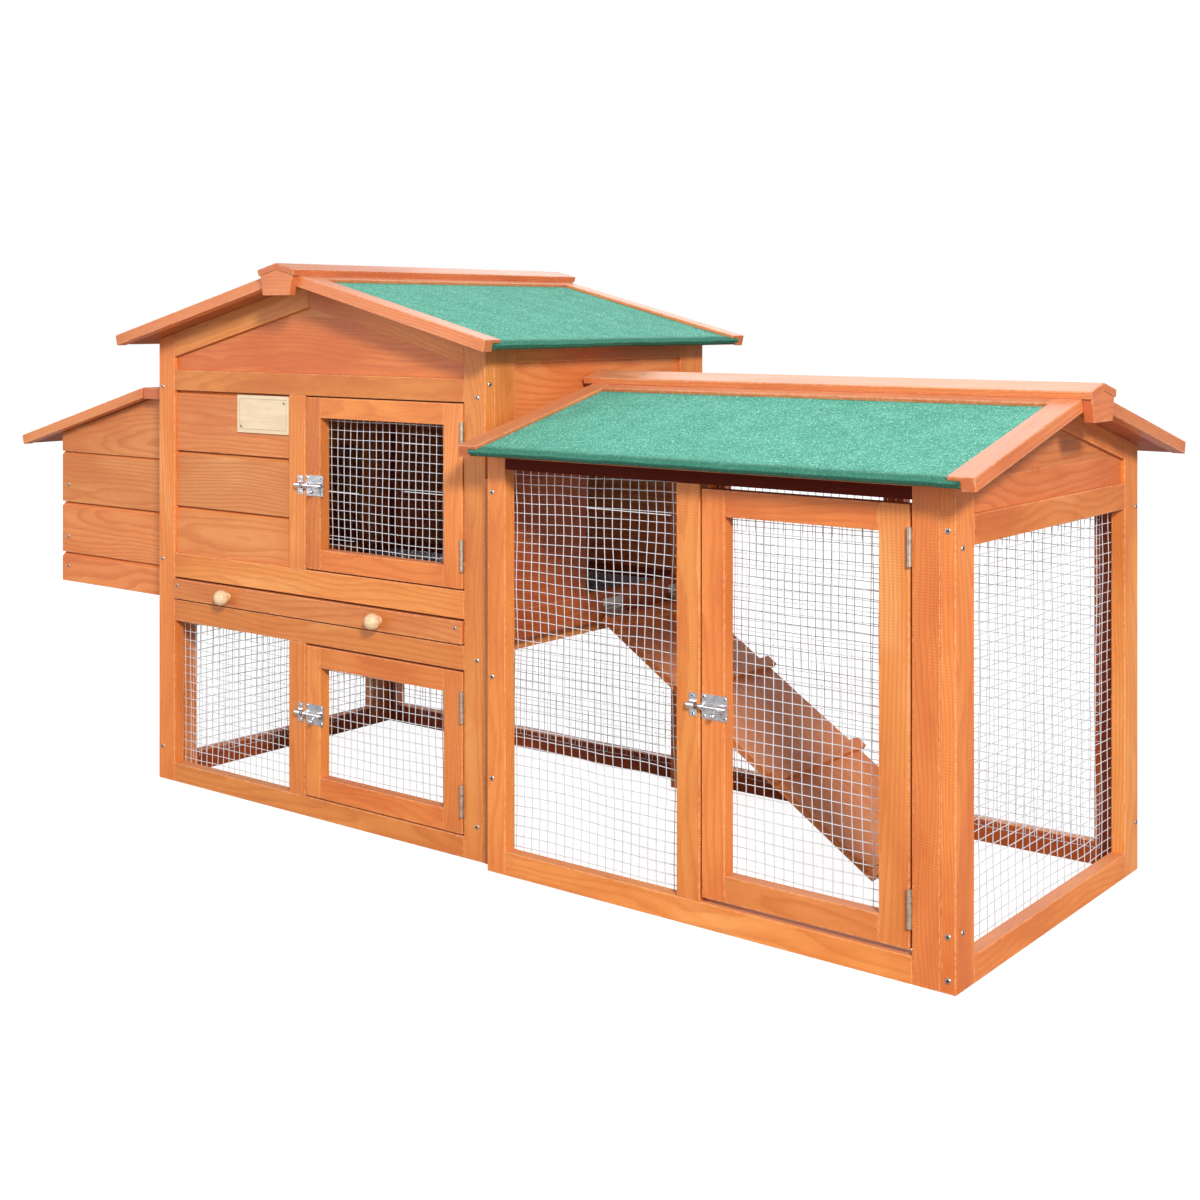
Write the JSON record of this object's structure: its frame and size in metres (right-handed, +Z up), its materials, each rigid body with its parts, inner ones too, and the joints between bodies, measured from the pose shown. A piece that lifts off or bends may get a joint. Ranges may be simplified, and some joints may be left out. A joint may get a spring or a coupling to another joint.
{
  "type": "rabbit hutch",
  "caption": "Two-storey stained timber hutch with a gabled house, a lidded nest box, a mesh run, hinged doors, a pull-out tray and a ramp.",
  "frame": {"origin": "centre of the footprint of the whole hutch, on the ground", "axes": "+X runs from the nest box to the run, along the length; +Y to the back; +Z up"},
  "size_m": [1.818, 0.628, 0.7853],
  "materials": {
    "timber": "orange-brown stain on sawn fir, satin",
    "boards": "orange-brown stain on planed fir boards, satin",
    "trim": "pinkish-orange stain on planed fir, satin",
    "roof_board": "stained boards under the felt",
    "felt": "green mineral granules on roofing felt, rough",
    "wire": "galvanised welded wire",
    "hardware": "zinc plated steel",
    "knob": "bare turned beech",
    "plaque": "cream painted thin board",
    "tray": "galvanised sheet"
  },
  "bodies": {
    "hutch": {"barge_boards": "trim", "bolt_keepers": "hardware", "frame_hinge_leaves": "hardware", "gable_boards": "boards", "gable_rakes": "timber", "hinge_pins": "hardware", "house_front_boards": "boards", "house_front_frame": "timber", "house_front_mesh": "wire", "house_left_mesh": "wire", "house_rear_boards": "boards", "house_rear_frame": "timber", "house_rear_mesh": "wire", "house_roof_felt": "felt", "house_roof_panels": "roof_board", "house_side_frames": "timber", "left_wall_boards": "boards", "nest_box": "boards", "nest_strip": "trim", "plaque": "plaque", "ridge_battens": "trim", "ridge_blocks": "trim", "ridge_caps": "trim", "right_wall_boards": "boards", "run_end_frame": "timber", "run_end_mesh": "wire", "run_front_frame": "timber", "run_front_mesh": "wire", "run_rear_frame": "timber", "run_rear_mesh": "wire", "run_roof_felt": "felt", "run_roof_panels": "roof_board", "screw_heads": "hardware", "tray_runners": "timber"},
    "upper_door": {"upper_door_frame": "timber", "upper_door_mesh": "wire", "upper_door_leaves": "hardware", "upper_latch_case": "hardware"},
    "lower_door": {"lower_door_frame": "timber", "lower_door_mesh": "wire", "lower_door_leaves": "hardware", "lower_latch_case": "hardware"},
    "run_door": {"run_door_frame": "timber", "run_door_mesh": "wire", "run_door_leaves": "hardware", "run_latch_case": "hardware"},
    "upper_bolt": {"upper_bolt": "hardware"},
    "lower_bolt": {"lower_bolt": "hardware"},
    "run_bolt": {"run_bolt": "hardware"},
    "tray": {"tray_pan": "tray", "tray_front": "boards", "tray_knobs": "knob"},
    "nest_lid": {"nest_lid_panel": "roof_board", "nest_lid_felt": "felt", "nest_lid_trim": "trim", "nest_lid_leaves": "hardware"},
    "ramp": {"ramp_board": "boards", "ramp_cleats": "timber", "ramp_leaves": "hardware"}
  },
  "joints": [
    {"name": "upper_door_hinge", "type": "hinge", "parent": "hutch", "child": "upper_door", "pos_m": [0.1365, -0.248, 0.474], "axis": [0, 0, 1], "range_deg": [0, 110]},
    {"name": "lower_door_hinge", "type": "hinge", "parent": "hutch", "child": "lower_door", "pos_m": [0.1365, -0.248, 0.1365], "axis": [0, 0, 1], "range_deg": [0, 150]},
    {"name": "run_door_hinge", "type": "hinge", "parent": "hutch", "child": "run_door", "pos_m": [0.7985, -0.267, 0.2735], "axis": [0, 0, 1], "range_deg": [0, 165]},
    {"name": "upper_bolt_slide", "type": "slide", "parent": "upper_door", "child": "upper_bolt", "axis": [-1, 0, 0], "range_m": [0, 0.012]},
    {"name": "lower_bolt_slide", "type": "slide", "parent": "lower_door", "child": "lower_bolt", "axis": [-1, 0, 0], "range_m": [0, 0.012]},
    {"name": "run_bolt_slide", "type": "slide", "parent": "run_door", "child": "run_bolt", "axis": [-1, 0, 0], "range_m": [0, 0.012]},
    {"name": "tray_slide", "type": "slide", "parent": "hutch", "child": "tray", "axis": [0, -1, 0], "range_m": [0, 0.4]},
    {"name": "nest_lid_hinge", "type": "hinge", "parent": "hutch", "child": "nest_lid", "pos_m": [-0.578, 0.004, 0.6008], "axis": [0, 1, 0], "range_deg": [0, 100]},
    {"name": "ramp_hinge", "type": "hinge", "parent": "hutch", "child": "ramp", "pos_m": [0.179, 0.104, 0.297], "axis": [0, -1, 0], "range_deg": [0, 50]}
  ]
}
